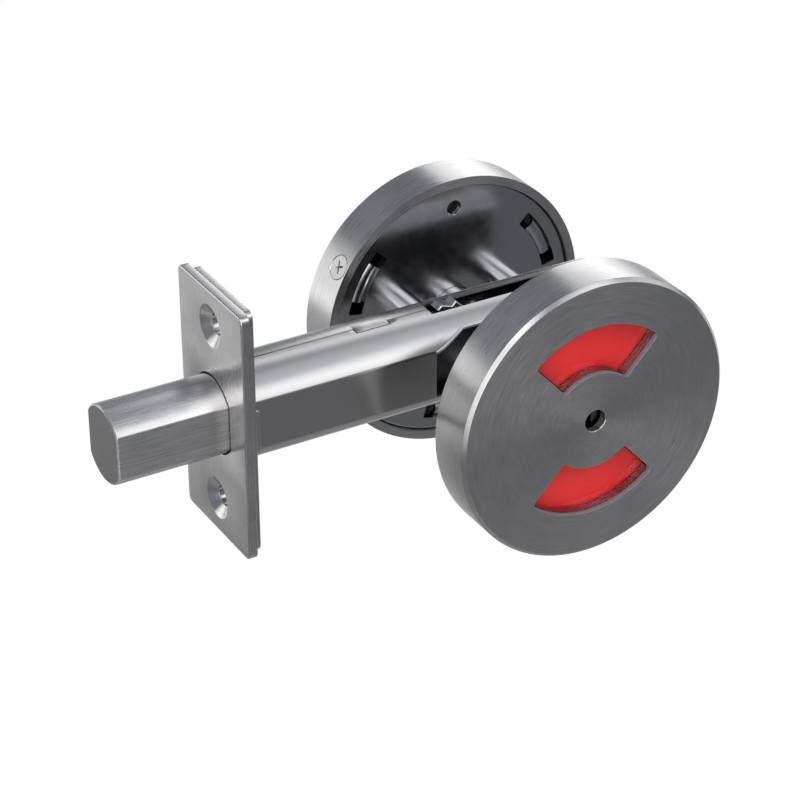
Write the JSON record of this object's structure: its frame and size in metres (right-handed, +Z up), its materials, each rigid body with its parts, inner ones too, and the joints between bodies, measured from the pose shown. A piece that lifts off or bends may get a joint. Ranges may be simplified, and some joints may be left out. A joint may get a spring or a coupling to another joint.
{
  "type": "indicator bolt",
  "caption": "Tubular privacy bolt for a toilet door: flatted bolt, face plate and rolled case between round steel roses whose windows show red when locked; turn inside, release hole outside",
  "frame": {"origin": "Middle of the face plate's outer face, on the bolt's axis, half way between the two fixing screws.", "axes": "X runs into the door along the bolt's axis and the bolt throws towards -X; the outside rose faces -Y and the inside rose with the turn faces +Y; Z is up."},
  "size_m": [0.1295, 0.0867, 0.0669],
  "materials": {
    "brushed": "satin brushed stainless steel",
    "case_sheet": "smooth rolled stainless sheet",
    "polished": "bright plated steel",
    "inner_steel": "plain machined steel",
    "clear": "clear moulded plastic",
    "red": "glossy red",
    "green": "glossy green",
    "black_plastic": "matte moulded plastic"
  },
  "bodies": {
    "lock": {"face_plate": "brushed", "back_plate": "brushed", "bolt_case": "case_sheet", "bolt_guide": "black_plastic", "hub_cheeks": "inner_steel", "cheek_pins": "inner_steel", "outside_rose": "brushed", "outside_lenses": "clear", "outside_mount": "polished", "outside_boss": "polished", "inside_rose": "brushed", "inside_lenses": "clear", "inside_mount": "polished", "inside_boss": "polished", "mount_posts": "polished", "tie_screws": "polished", "side_screw": "polished"},
    "turn": {"cam_lever": "inner_steel", "spindle": "inner_steel", "spindle_sleeves": "polished", "outside_carrier": "black_plastic", "outside_reds": "red", "outside_greens": "green", "release_core": "inner_steel", "inside_carrier": "black_plastic", "inside_reds": "red", "inside_greens": "green", "thumb_turn": "brushed", "shaft_clips": "inner_steel"},
    "bolt": {"bolt_head": "brushed", "bolt_tail": "inner_steel", "drive_pins": "inner_steel", "tail_rivets": "inner_steel"}
  },
  "joints": [
    {"name": "turn_hinge", "type": "hinge", "parent": "lock", "child": "turn", "pos_m": [0.072, 0, -0.0058], "axis": [0, 1, 0], "range_deg": [0, 90]},
    {"name": "bolt_slide", "type": "slide", "parent": "lock", "child": "bolt", "axis": [1, 0, 0], "range_m": [0, 0.025]}
  ],
  "couplings": [
    {"joint": "turn_hinge", "follows": "bolt_slide", "rad_per_m": 62.83}
  ]
}
